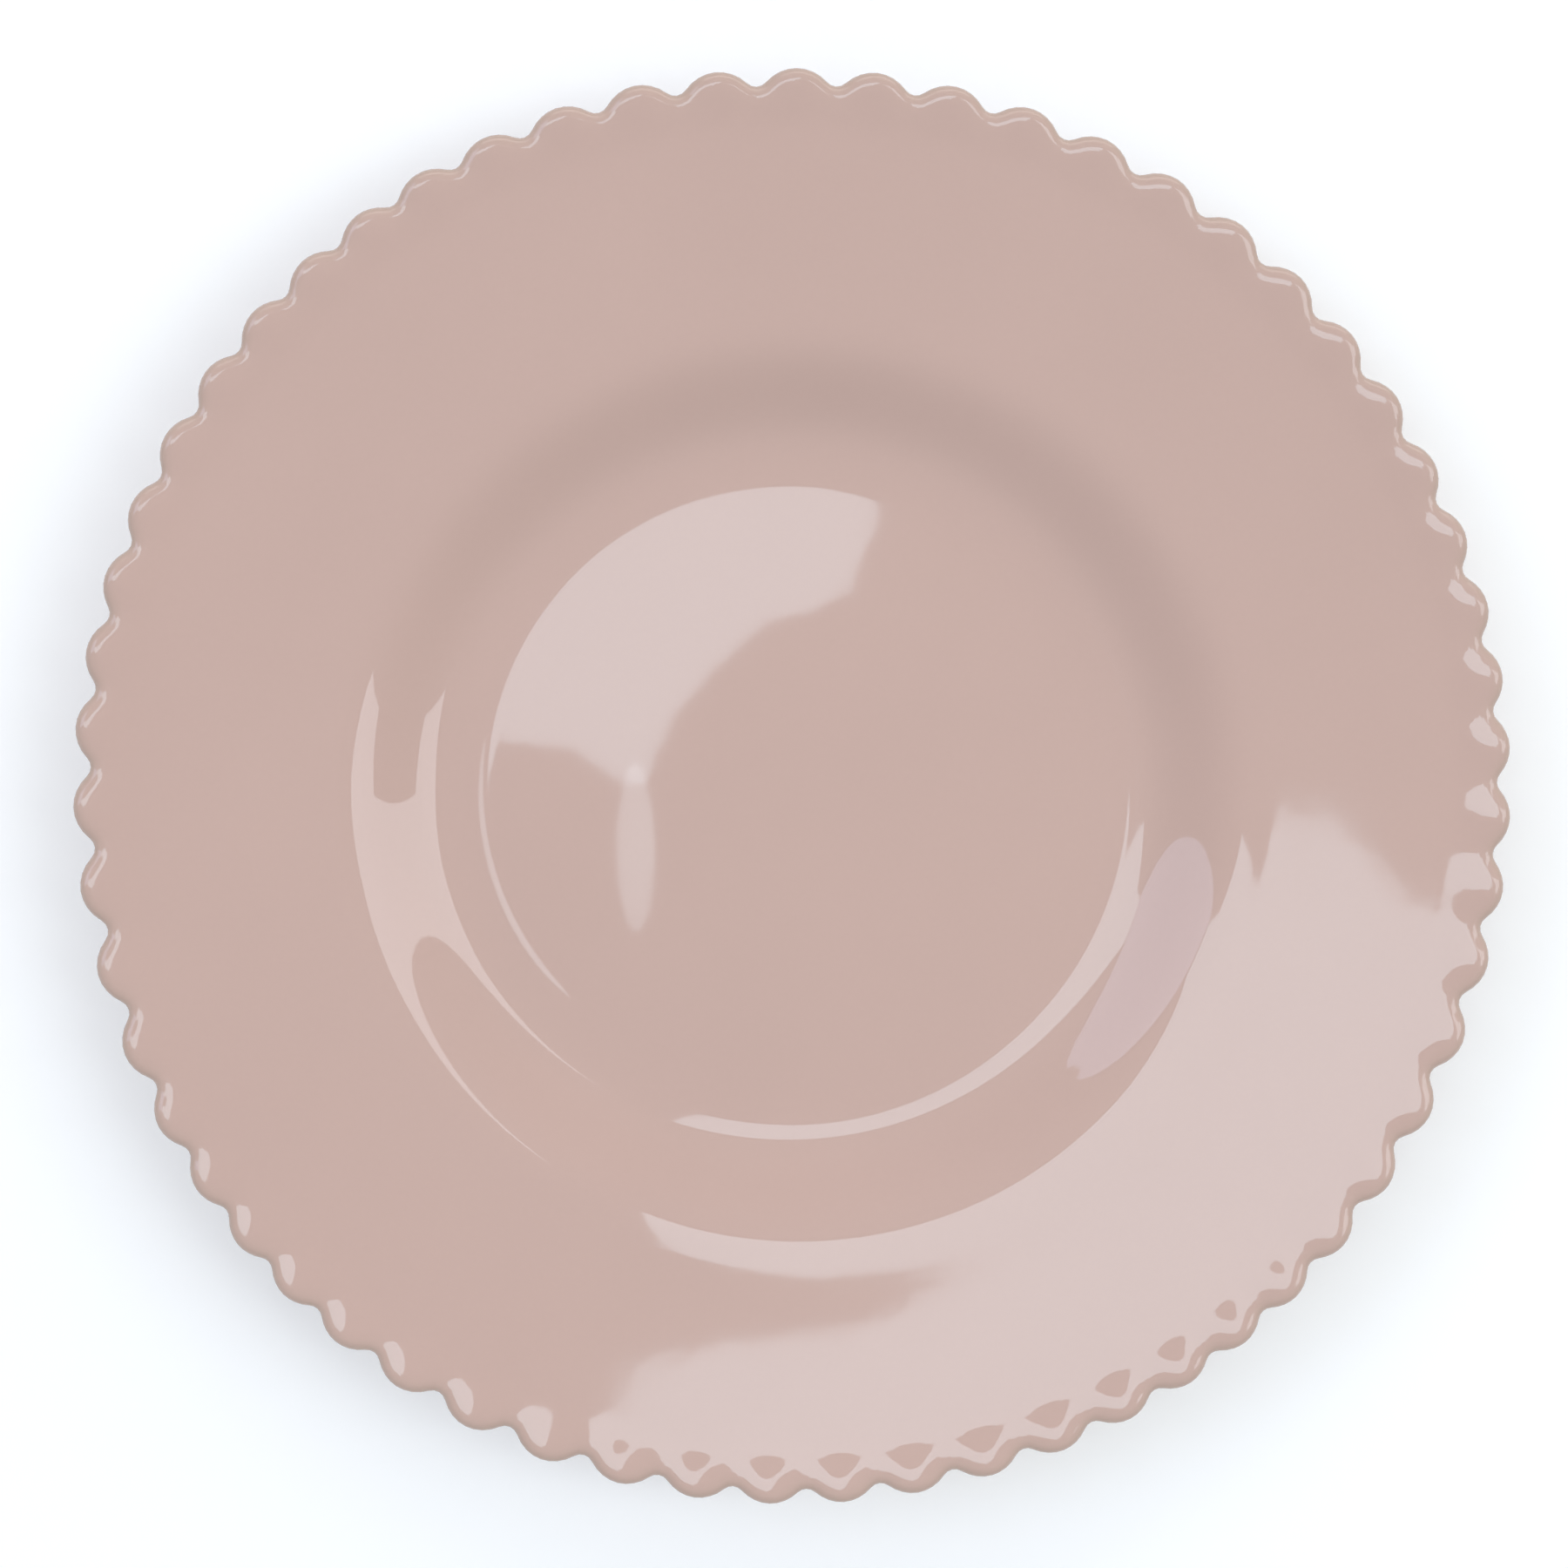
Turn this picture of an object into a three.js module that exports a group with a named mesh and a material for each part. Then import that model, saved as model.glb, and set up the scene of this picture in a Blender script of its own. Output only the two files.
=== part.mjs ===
// A scalloped dinner plate: a stoneware body with a glossy glaze on all of it but the foot that it stands on.
// Millimetres, +Z up. The origin is on the table under the middle of the plate.
import * as THREE from "three";

// Scalloped outline, seen from above
const OUTER_RADIUS = 137.5; // to the tip of a scallop
const SCALLOP_WIDTH = 14.6; // along the edge, notch to notch
const SCALLOP_DEPTH = 2.75; // tip to notch
const NOTCH_RADIUS = 2.5; // hollow between two scallops
const FIRST_NOTCH_DEGREES = 1.3; // turned from +X towards +Y

// The scallops were spaced by eye, so their spacing wanders round the plate in these slow waves.
const SPACING_WAVES = [
  { perTurn: 1, degrees: 0.6, phase: 145 },
  { perTurn: 2, degrees: 0.55, phase: 165 },
  { perTurn: 3, degrees: 0.35, phase: 50 },
  { perTurn: 4, degrees: 0.6, phase: -55 },
  { perTurn: 5, degrees: 0.4, phase: 65 },
  { perTurn: 7, degrees: 0.25, phase: 25 },
  { perTurn: 8, degrees: 0.25, phase: 145 },
];

// Upper face: flat floor that lifts a little before the wall, sloping wall, broad rim that turns up a little
const FLOOR_LIFT_RADIUS = 60; // where the floor starts to lift
const FLOOR_LIFT_DEGREES = 2.9;
const FLOOR_LIFT_BEND = 1.2; // larger is softer
const WALL_FOOT_RADIUS = 71; // middle of the bend from the floor to the wall
const WALL_FOOT_BEND = 2; // larger is softer
const WALL_SLOPE_DEGREES = 31;
const WALL_RUN = 13.5; // from there out to the middle of the bend from the wall to the rim
const SHOULDER_BEND = 2.1; // larger is softer
const RIM_SLOPE_DEGREES = 6.1; // where the rim leaves the shoulder
const RIM_STRAIGHT_RUN = 10.5; // from the shoulder to where the rim starts to curve upwards
const RIM_CURVE_RADIUS = 520; // upward curve of the rim
const EDGE_UPTURN_DEGREES = 6; // how much steeper the rim gets just inside the scallops
const EDGE_UPTURN_DEPTH = 10.5; // how far in from the tips of the scallops that begins
const EDGE_UPTURN_WIDTH = 6.2; // how far out from there it ends
const EDGE_UPTURN_BEND = 0.6; // larger is softer
const NOTCH_FLATTENING = 0.65; // share of the upturn that the edge lacks at the notches

// Thickness, glaze included
const FLOOR_THICKNESS = 5.8;
const EDGE_THICKNESS = 4.6;
const LIP_ROUND = 2.3; // how far in from the outline the lip is rounded
const GLAZE_THICKNESS = 0.45;

// Foot ring, bare clay up to the glaze line
const FOOT_SET_OUT = 1.5; // how far its outer side at the table stands out from the foot of the wall
const FOOT_WIDTH = 4.8; // at the table
const FOOT_FLARE = 1.2; // how much wider each side is at its root
const FOOT_CHAMFER = 0.6;
const FOOT_RECESS = 3.4; // height of the glazed base above the table
const GLAZE_LINE = 1.3; // height on the foot where the glaze was wiped off

// Facets
const COAT_LOBE_STEPS = 4; // along the round of one scallop, on the glaze
const CLAY_LOBE_STEPS = 2; // along the round of one scallop, on the clay
const COAT_LIP_STEPS = 4; // round the lip, from face to back
const CLAY_LIP_STEPS = 2;
const RIM_SPOKES = 2; // the middle of the rim has every second spoke of the edge
const WALL_FOOT_RINGS = [-2.5, -1, 0, 1]; // places of the rings in a bend, as multiples of its softness
const SHOULDER_RINGS = [-1, 0, 1, 2.5];

// Finishes
const GLAZE_FINISH = { color: "#cbb1aa", roughness: 0.12, metalness: 0 };
const CLAY_FINISH = { color: "#d8c7ae", roughness: 0.8, metalness: 0 };

const TURN = 2 * Math.PI;
const radians = THREE.MathUtils.degToRad;
const liftSlope = Math.tan(radians(FLOOR_LIFT_DEGREES));
const wallSlope = Math.tan(radians(WALL_SLOPE_DEGREES));
const rimSlope = Math.tan(radians(RIM_SLOPE_DEGREES));
const edgeUpturn = Math.tan(radians(EDGE_UPTURN_DEGREES));
const scallopCount = Math.round((TURN * OUTER_RADIUS) / SCALLOP_WIDTH);
const lobeRadius = roundOfLobe();
const shoulderRadius = WALL_FOOT_RADIUS + WALL_RUN;
const rimCurveStart = shoulderRadius + RIM_STRAIGHT_RUN;
const upturnRadius = OUTER_RADIUS - EDGE_UPTURN_DEPTH;
const footOuterRadius = WALL_FOOT_RADIUS + FOOT_SET_OUT;
const footInnerRadius = footOuterRadius - FOOT_WIDTH;
const floorTop = FOOT_RECESS + FLOOR_THICKNESS;

// Round of a scallop of even width that touches the notches on both sides of it.
function roundOfLobe() {
  const notchCentre = OUTER_RADIUS - SCALLOP_DEPTH + NOTCH_RADIUS;
  const along = notchCentre * Math.cos(Math.PI / scallopCount);
  const squares = OUTER_RADIUS ** 2 + notchCentre ** 2 - NOTCH_RADIUS ** 2;
  return (squares - 2 * OUTER_RADIUS * along) / (2 * (OUTER_RADIUS + NOTCH_RADIUS - along));
}

// Height gained by radius r over a bend that turns from flat to a slope of 1.
function softRamp(r, bend) {
  return bend * Math.log1p(Math.exp(r / bend));
}

// Share of that slope reached at radius r.
function softStep(r, bend) {
  return 1 / (1 + Math.exp(-r / bend));
}

// Height of the face. `upturned` is the share of the edge's upturn that this place has.
function faceHeight(r, upturned = 1) {
  const lift = liftSlope * softRamp(r - FLOOR_LIFT_RADIUS, FLOOR_LIFT_BEND);
  const wall = (wallSlope - liftSlope) * softRamp(r - WALL_FOOT_RADIUS, WALL_FOOT_BEND);
  const shoulder = (wallSlope - rimSlope) * softRamp(r - shoulderRadius, SHOULDER_BEND);
  const curve = Math.max(0, r - rimCurveStart) ** 2 / (2 * RIM_CURVE_RADIUS);
  const intoEdge = softRamp(r - upturnRadius, EDGE_UPTURN_BEND);
  const pastEdge = softRamp(r - upturnRadius - EDGE_UPTURN_WIDTH, EDGE_UPTURN_BEND);
  const edge = upturned * edgeUpturn * (intoEdge - pastEdge);
  return floorTop + lift + wall - shoulder + curve + edge;
}

function faceSlope(r) {
  const lift = liftSlope * softStep(r - FLOOR_LIFT_RADIUS, FLOOR_LIFT_BEND);
  const wall = (wallSlope - liftSlope) * softStep(r - WALL_FOOT_RADIUS, WALL_FOOT_BEND);
  const shoulder = (wallSlope - rimSlope) * softStep(r - shoulderRadius, SHOULDER_BEND);
  const curve = Math.max(0, r - rimCurveStart) / RIM_CURVE_RADIUS;
  const intoEdge = softStep(r - upturnRadius, EDGE_UPTURN_BEND);
  const pastEdge = softStep(r - upturnRadius - EDGE_UPTURN_WIDTH, EDGE_UPTURN_BEND);
  return lift + wall - shoulder + curve + edgeUpturn * (intoEdge - pastEdge);
}

// Vertical size of a layer that measures `thickness` square to the face.
function upright(thickness, r) {
  return thickness * Math.hypot(1, faceSlope(r));
}

// The plate thins evenly from its shoulder to its edge.
function plateThickness(r) {
  const share = (r - shoulderRadius) / (OUTER_RADIUS - shoulderRadius);
  return THREE.MathUtils.lerp(FLOOR_THICKNESS, EDGE_THICKNESS, THREE.MathUtils.clamp(share, 0, 1));
}

// Share of the edge's upturn behind a point of the outline: all of it at a tip, less at a notch.
function upturnShare(outlineRadius) {
  const inFromTip = THREE.MathUtils.clamp((OUTER_RADIUS - outlineRadius) / SCALLOP_DEPTH, 0, 1);
  return 1 - NOTCH_FLATTENING * inFromTip ** 2;
}

// Angle of a place that lies `count` scallops round from the first notch.
function spacedAngle(count) {
  const even = (TURN * count) / scallopCount;
  let wander = 0;
  for (const wave of SPACING_WAVES) {
    wander += wave.degrees * Math.cos(wave.perTurn * even + radians(wave.phase));
  }
  return even + radians(FIRST_NOTCH_DEGREES + wander);
}

function lobeCentre(scallop) {
  const angle = spacedAngle(scallop + 0.5);
  return new THREE.Vector2(Math.cos(angle), Math.sin(angle)).multiplyScalar(OUTER_RADIUS - lobeRadius);
}

// The notch before a scallop is a hollow arc that touches the rounds on both sides of it.
function notchBefore(scallop) {
  const before = lobeCentre(scallop - 1);
  const after = lobeCentre(scallop);
  const middle = before.clone().lerp(after, 0.5);
  const outward = after.clone().sub(before).rotateAround(new THREE.Vector2(), -TURN / 4).normalize();
  const reach = lobeRadius + NOTCH_RADIUS;
  const rise = Math.sqrt(reach ** 2 - before.distanceToSquared(after) / 4);
  return { centre: middle.addScaledVector(outward, rise), inward: outward.negate() };
}

// Points of the outline, each with its inward direction, on a line `inset` inside the finished edge.
function outline(inset, lobeSteps) {
  const points = [];
  for (let scallop = 0; scallop < scallopCount; scallop++) {
    const centre = lobeCentre(scallop);
    const notch = notchBefore(scallop);
    const nextNotch = notchBefore(scallop + 1);
    const notchFloor = notch.centre.clone().addScaledVector(notch.inward, NOTCH_RADIUS + inset);
    points.push({ at: notchFloor, inward: notch.inward });
    const start = notch.centre.sub(centre).angle();
    const sweep = (nextNotch.centre.sub(centre).angle() - start + TURN) % TURN;
    for (let step = 0; step <= lobeSteps; step++) {
      const angle = start + (sweep * step) / lobeSteps;
      const outward = new THREE.Vector2(Math.cos(angle), Math.sin(angle));
      const at = centre.clone().addScaledVector(outward, lobeRadius - inset);
      points.push({ at, inward: outward.negate() });
    }
  }
  return points;
}

// A round ring with a point on every `every`th spoke of the outline.
function circle(edge, every, r, z) {
  return edge
    .filter((point, index) => index % every === 0)
    .map(({ at }) => new THREE.Vector3(at.x, at.y, 0).setLength(r).setZ(z));
}

function pole(z) {
  return [new THREE.Vector3(0, 0, z)];
}

// Rings round the lip from the face to the back. They follow the scallops and the slope of the rim.
function lipRings(edge, inset, steps) {
  const rings = [];
  for (let step = 0; step <= steps; step++) {
    const turned = (Math.PI * step) / steps;
    const depth = (LIP_ROUND - inset) * (1 - Math.sin(turned));
    rings.push(
      edge.map(({ at, inward }) => {
        const place = at.clone().addScaledVector(inward, depth);
        const r = place.length();
        const half = plateThickness(r) / 2;
        const face = faceHeight(r, upturnShare(at.length() + inset));
        const z = face - half + (half - inset) * Math.cos(turned);
        return new THREE.Vector3(place.x, place.y, z);
      }),
    );
  }
  return rings;
}

// Rings from the middle of the face, round the lip and down to the glaze line on the foot,
// on a skin that lies `inset` inside the finished plate.
function skinRings(inset, lobeSteps, lipSteps) {
  const edge = outline(inset, lobeSteps);
  const perScallop = edge.length / scallopCount;
  const rimRadii = [(shoulderRadius + upturnRadius) / 2, upturnRadius];
  const face = (r) => faceHeight(r) - upright(inset, r);
  const back = (r) => faceHeight(r) - upright(plateThickness(r) - inset, r);
  const wallFoot = WALL_FOOT_RINGS.map((bends) => WALL_FOOT_RADIUS + bends * WALL_FOOT_BEND);
  const shoulder = SHOULDER_RINGS.map((bends) => shoulderRadius + bends * SHOULDER_BEND);
  const faceRadii = [FLOOR_LIFT_RADIUS, ...wallFoot, ...shoulder].sort((a, b) => a - b);
  const footRoot = footOuterRadius + FOOT_FLARE - inset;
  return [
    pole(face(0)),
    ...faceRadii.map((r) => circle(edge, perScallop, r, face(r))),
    ...rimRadii.map((r) => circle(edge, RIM_SPOKES, r, face(r))),
    ...lipRings(edge, inset, lipSteps),
    ...rimRadii.toReversed().map((r) => circle(edge, RIM_SPOKES, r, back(r))),
    ...shoulder.toReversed().map((r) => circle(edge, perScallop, r, back(r))),
    circle(edge, perScallop, footRoot, back(footRoot)),
    circle(edge, perScallop, footOuterRadius + GLAZE_THICKNESS - inset, GLAZE_LINE),
  ];
}

// Rings of the base inside the foot ring, from the glaze line to the middle, as skinRings has them.
function baseRings(inset) {
  const edge = outline(GLAZE_THICKNESS, CLAY_LOBE_STEPS);
  const perScallop = edge.length / scallopCount;
  const z = FOOT_RECESS + inset;
  return [
    circle(edge, perScallop, footInnerRadius - GLAZE_THICKNESS + inset, GLAZE_LINE),
    circle(edge, perScallop, footInnerRadius - FOOT_FLARE + inset, z),
    pole(z),
  ];
}

// Rings of the bare foot, from the outer glaze line to the inner one.
function footRings() {
  const edge = outline(GLAZE_THICKNESS, CLAY_LOBE_STEPS);
  const ring = (r, z) => circle(edge, edge.length / scallopCount, r, z);
  return [
    ring(footOuterRadius, FOOT_CHAMFER),
    ring(footOuterRadius - FOOT_CHAMFER, 0),
    ring(footInnerRadius + FOOT_CHAMFER, 0),
    ring(footInnerRadius, FOOT_CHAMFER),
  ];
}

// Triangles between two rings. A ring may have more points than its neighbour, or be a single pole.
function bandTriangles(near, far) {
  const nearSteps = near.length > 1 ? near.length : 0;
  const farSteps = far.length > 1 ? far.length : 0;
  const triangles = [];
  let i = 0;
  let j = 0;
  while (i < nearSteps || j < farSteps) {
    const a = near[i % near.length];
    const b = far[j % far.length];
    const farFirst = i === nearSteps || (j + 1) * nearSteps <= (i + 1) * farSteps;
    if (j < farSteps && farFirst) {
      j += 1;
      triangles.push(a, b, far[j % far.length]);
    } else {
      i += 1;
      triangles.push(a, b, near[i % near.length]);
    }
  }
  return triangles;
}

// Triangles of a surface that runs through the rings in turn.
function surface(rings) {
  return rings.slice(1).flatMap((ring, index) => bandTriangles(rings[index], ring));
}

// The same surface seen from its other side, for the piece that lies against it.
function otherSide(triangles) {
  return triangles.toReversed();
}

function solid(triangles) {
  const geometry = new THREE.BufferGeometry().setFromPoints(triangles);
  geometry.computeVertexNormals();
  return geometry;
}

function piece(name, geometry, finish) {
  const mesh = new THREE.Mesh(geometry, new THREE.MeshStandardMaterial(finish));
  mesh.name = name;
  return mesh;
}

const coatSkin = skinRings(0, COAT_LOBE_STEPS, COAT_LIP_STEPS);
const claySkin = skinRings(GLAZE_THICKNESS, CLAY_LOBE_STEPS, CLAY_LIP_STEPS);
const clayBase = baseRings(GLAZE_THICKNESS);
const glazedBase = baseRings(0);

const body = solid(surface([...claySkin, ...footRings(), ...clayBase]));
const coat = solid([
  ...surface(coatSkin),
  ...bandTriangles(coatSkin.at(-1), claySkin.at(-1)),
  ...otherSide(surface(claySkin)),
]);
const base = solid([
  ...otherSide(surface(clayBase)),
  ...bandTriangles(clayBase[0], glazedBase[0]),
  ...surface(glazedBase),
]);

const plate = new THREE.Group();
plate.name = "scalloped_plate";
plate.add(piece("stoneware_body", body, CLAY_FINISH));
plate.add(piece("glaze_coat", coat, GLAZE_FINISH));
plate.add(piece("base_glaze", base, GLAZE_FINISH));

export default plate;
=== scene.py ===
"""Dresses the scalloped plate: pink glaze over stoneware, a bare clay foot and a plain stage."""

import math
from typing import NamedTuple

import bpy
from bpy.props import FloatProperty, FloatVectorProperty, IntProperty, PointerProperty
from mathutils import Matrix, Vector


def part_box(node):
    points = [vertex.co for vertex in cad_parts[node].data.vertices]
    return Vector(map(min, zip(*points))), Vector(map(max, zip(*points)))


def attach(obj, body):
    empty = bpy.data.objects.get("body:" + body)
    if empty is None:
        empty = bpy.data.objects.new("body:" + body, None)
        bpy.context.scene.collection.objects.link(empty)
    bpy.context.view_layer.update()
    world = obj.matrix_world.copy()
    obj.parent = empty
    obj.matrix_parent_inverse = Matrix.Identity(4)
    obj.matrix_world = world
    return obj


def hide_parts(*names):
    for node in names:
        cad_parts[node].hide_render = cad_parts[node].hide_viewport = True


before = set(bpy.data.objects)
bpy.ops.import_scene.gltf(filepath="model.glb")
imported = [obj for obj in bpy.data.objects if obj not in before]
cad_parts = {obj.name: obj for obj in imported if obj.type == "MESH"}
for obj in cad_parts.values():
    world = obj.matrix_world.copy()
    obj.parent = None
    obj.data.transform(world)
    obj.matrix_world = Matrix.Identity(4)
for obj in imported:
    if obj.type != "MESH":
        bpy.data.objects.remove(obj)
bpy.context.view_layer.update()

bl_info = {
    "name": "Scalloped Plate",
    "version": (1, 0, 0),
    "blender": (4, 5, 0),
    "location": "3D View > Sidebar > Plate",
    "description": "Makes a glazed stoneware plate with a scalloped edge, and a plain stage for it",
    "category": "Object",
}

MM = 0.001
PHOTO_SENSOR = 36.0  # width in millimetres
FLOOR_HALF = 1.6
FLOOR_GLOW = 0.14  # makes up for what the floor's colour lacks to white, where it shows

# Slow waves by which the scallops' spacing wanders: waves per turn, degrees, phase in degrees.
SPACING_WAVES = (
    (1, 0.6, 145.0),
    (2, 0.55, 165.0),
    (3, 0.35, 50.0),
    (4, 0.6, -55.0),
    (5, 0.4, 65.0),
    (7, 0.25, 25.0),
    (8, 0.25, 145.0),
)
NOTCH_SHARE = 1 / 3  # of the columns from a notch to the middle of a scallop, on the notch's hollow
EDGE_FADE = 1.1 * MM  # how fast the lip's thin glaze and its painted edge shade fade inwards


class PlateSizes(bpy.types.PropertyGroup):
    """Sizes of the plate."""

    outer_radius: FloatProperty(
        name="Outer radius", description="From the middle to the tip of a scallop",
        default=137.49 * MM, min=0.01, unit="LENGTH",
    )
    scallops: IntProperty(
        name="Scallops", description="Number of scallops round the edge", default=59, min=8, max=120,
    )
    scallop_depth: FloatProperty(
        name="Scallop depth", description="From the tip of a scallop in to a notch",
        default=2.75 * MM, min=0.0, unit="LENGTH",
    )
    notch_radius: FloatProperty(
        name="Notch radius", description="Round of the hollow between two scallops",
        default=2.5 * MM, min=0.0001, unit="LENGTH",
    )
    first_notch: FloatProperty(
        name="First notch", description="Angle of the first notch from +X towards +Y",
        default=math.radians(1.3), subtype="ANGLE",
    )
    floor_thickness: FloatProperty(
        name="Floor thickness", description="Thickness of the floor, glaze included",
        default=5.56 * MM, min=0.001, unit="LENGTH",
    )
    edge_thickness: FloatProperty(
        name="Edge thickness", description="Thickness just inside the lip, glaze included",
        default=4.6 * MM, min=0.001, unit="LENGTH",
    )
    floor_lift_radius: FloatProperty(
        name="Floor lift radius", description="Where the floor starts to lift towards the wall",
        default=60.0 * MM, min=0.01, unit="LENGTH",
    )
    floor_lift: FloatProperty(
        name="Floor lift", description="Slope of the floor before the wall",
        default=math.radians(2.9), subtype="ANGLE",
    )
    floor_lift_bend: FloatProperty(
        name="Floor lift bend", description="Softness of the bend there",
        default=1.2 * MM, min=0.0001, unit="LENGTH",
    )
    wall_foot_radius: FloatProperty(
        name="Wall foot", description="Radius of the bend from the floor to the wall",
        default=71.0 * MM, min=0.01, unit="LENGTH",
    )
    wall_foot_bend: FloatProperty(
        name="Wall foot bend", description="Softness of the bend from the floor to the wall",
        default=2.0 * MM, min=0.0001, unit="LENGTH",
    )
    wall_slope: FloatProperty(
        name="Wall slope", description="Slope of the wall of the well",
        default=math.radians(31.0), subtype="ANGLE",
    )
    shoulder_radius: FloatProperty(
        name="Shoulder", description="Radius of the bend from the wall to the rim",
        default=84.5 * MM, min=0.01, unit="LENGTH",
    )
    shoulder_bend: FloatProperty(
        name="Shoulder bend", description="Softness of the bend from the wall to the rim",
        default=2.1 * MM, min=0.0001, unit="LENGTH",
    )
    rim_slope: FloatProperty(
        name="Rim slope", description="Slope of the rim where it leaves the shoulder",
        default=math.radians(6.25), subtype="ANGLE",
    )
    rim_curve: FloatProperty(
        name="Rim curve", description="Radius of the rim's upward curve",
        default=635.0 * MM, min=0.01, unit="LENGTH",
    )
    rim_curve_start: FloatProperty(
        name="Rim curve start", description="Radius at which the rim starts to curve upwards",
        default=90.0 * MM, min=0.01, unit="LENGTH",
    )
    edge_upturn: FloatProperty(
        name="Edge upturn", description="How much steeper the rim gets just inside the scallops",
        default=math.radians(6.0), subtype="ANGLE",
    )
    edge_upturn_depth: FloatProperty(
        name="Edge upturn depth", description="How far in from the tips of the scallops that begins",
        default=10.5 * MM, min=0.0, unit="LENGTH",
    )
    edge_upturn_width: FloatProperty(
        name="Edge upturn width", description="How far out from there it ends in the middle of a scallop",
        default=6.2 * MM, min=0.0, unit="LENGTH",
    )
    notch_narrowing: FloatProperty(
        name="Notch narrowing", description="Share of that width that it lacks at the notches",
        default=0.52, min=0.0, max=1.0, subtype="FACTOR",
    )
    edge_upturn_bend: FloatProperty(
        name="Edge upturn bend", description="Softness of its bends",
        default=0.6 * MM, min=0.0001, unit="LENGTH",
    )
    notch_flattening: FloatProperty(
        name="Notch flattening", description="Share of the upturn that the edge lacks at the notches",
        default=0.28, min=0.0, max=1.0, subtype="FACTOR",
    )
    lip_round: FloatProperty(
        name="Lip round", description="How far in from the outline the lip is rounded",
        default=2.5 * MM, min=0.0001, unit="LENGTH",
    )
    lip_fullness: FloatProperty(
        name="Lip fullness", description="2 is a round lip, and more is fuller",
        default=2.2, min=1.0, max=4.0,
    )
    lip_ease: FloatProperty(
        name="Lip ease", description="How far the face sinks towards the lip",
        default=0.15 * MM, min=0.0, unit="LENGTH",
    )
    lip_ease_reach: FloatProperty(
        name="Lip ease reach", description="How far in from the outline that begins",
        default=3.5 * MM, min=0.0001, unit="LENGTH",
    )
    glaze_thickness: FloatProperty(
        name="Glaze thickness", description="Thickness of the glaze",
        default=0.45 * MM, min=0.0001, unit="LENGTH",
    )
    ripple: FloatProperty(
        name="Ripple", description="Height of the glaze's slow unevenness",
        default=0.03 * MM, min=0.0, unit="LENGTH",
    )
    foot_radius: FloatProperty(
        name="Foot radius", description="Outer radius of the foot ring at the table",
        default=72.5 * MM, min=0.01, unit="LENGTH",
    )
    foot_width: FloatProperty(
        name="Foot width", description="Width of the foot ring at the table",
        default=4.8 * MM, min=0.001, unit="LENGTH",
    )
    foot_flare: FloatProperty(
        name="Foot flare", description="How much wider each side of the foot is at its root",
        default=1.2 * MM, min=0.0, unit="LENGTH",
    )
    foot_round: FloatProperty(
        name="Foot round", description="Round of the foot's edges at the table",
        default=0.6 * MM, min=0.0001, unit="LENGTH",
    )
    foot_recess: FloatProperty(
        name="Foot recess", description="Height of the glazed base above the table",
        default=3.4 * MM, min=0.0, unit="LENGTH",
    )
    glaze_line: FloatProperty(
        name="Glaze line", description="Height on the foot where the glaze was wiped off",
        default=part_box("glaze_coat")[0].z, min=0.0, unit="LENGTH",
    )
    steps: IntProperty(
        name="Steps", description="Columns of faces from a notch to the middle of a scallop",
        default=6, min=2, max=12,
    )


class GlazeLook(bpy.types.PropertyGroup):
    """Look of the glaze."""

    colour: FloatVectorProperty(
        name="Glaze", description="Colour of the glaze", subtype="COLOR", size=3, min=0.0, max=1.0,
        default=(0.550, 0.378, 0.325),
    )
    # The lip's colour: partly the thin glaze's own darker tone, partly painted shade along the edge
    lip_glaze_and_shade_colour: FloatVectorProperty(
        name="Thin glaze", description="Colour of the glaze where it runs thin, on the lip",
        subtype="COLOR", size=3, min=0.0, max=1.0, default=(0.43, 0.325, 0.255),
    )
    roughness: FloatProperty(
        name="Roughness", description="Roughness of the glaze",
        subtype="FACTOR", min=0.0, max=1.0, default=0.03,
    )


class ClayLook(bpy.types.PropertyGroup):
    """Look of the bare clay."""

    colour: FloatVectorProperty(
        name="Clay", description="Colour of the fired clay", subtype="COLOR", size=3, min=0.0, max=1.0,
        default=(0.68, 0.57, 0.42),
    )
    fleck_colour: FloatVectorProperty(
        name="Flecks", description="Colour of the iron flecks in the clay",
        subtype="COLOR", size=3, min=0.0, max=1.0, default=(0.30, 0.19, 0.10),
    )
    roughness: FloatProperty(
        name="Roughness", description="Roughness of the clay",
        subtype="FACTOR", min=0.0, max=1.0, default=0.85,
    )


class StageLook(bpy.types.PropertyGroup):
    """Camera, floor and light."""

    floor_colour: FloatVectorProperty(
        name="Floor", description="Colour of the floor", subtype="COLOR", size=3, min=0.0, max=1.0,
        default=(0.86, 0.86, 0.86),
    )
    sky_strength: FloatProperty(
        name="Sky", description="Strength of the even light all round", default=0.628, min=0.0,
    )
    sky_lean: FloatProperty(
        name="Sky lean", description="How much brighter one side of the sky is", default=0.03, min=0.0,
    )
    sky_turn: FloatProperty(
        name="Sky turn", description="Which side of the sky is brighter, from +X towards +Y",
        default=math.radians(15.0), subtype="ANGLE",
    )
    camera_distance: FloatProperty(
        name="Camera distance", description="From the camera to the middle of the plate",
        default=0.55, min=0.1, unit="LENGTH",
    )
    camera_tilt: FloatProperty(
        name="Camera tilt", description="How far the camera leans from straight above",
        default=math.radians(4.0), subtype="ANGLE",
    )
    camera_turn: FloatProperty(
        name="Camera turn", description="Which way it leans, from +X towards +Y",
        default=math.radians(118.0), subtype="ANGLE",
    )
    camera_aim: FloatVectorProperty(
        name="Camera aim", description="Point at the middle of the picture",
        subtype="TRANSLATION", unit="LENGTH", size=3, default=(-2.48 * MM, 2.35 * MM, 24.0 * MM),
    )
    camera_lens: FloatProperty(
        name="Camera lens", description="Focal length in millimetres", default=66.08, min=1.0,
    )


class Panel(NamedTuple):
    """A flat diffuser over the plate, by its corners as seen from above."""

    name: str
    height: float
    corners: tuple
    colour: tuple
    radiance: float


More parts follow.
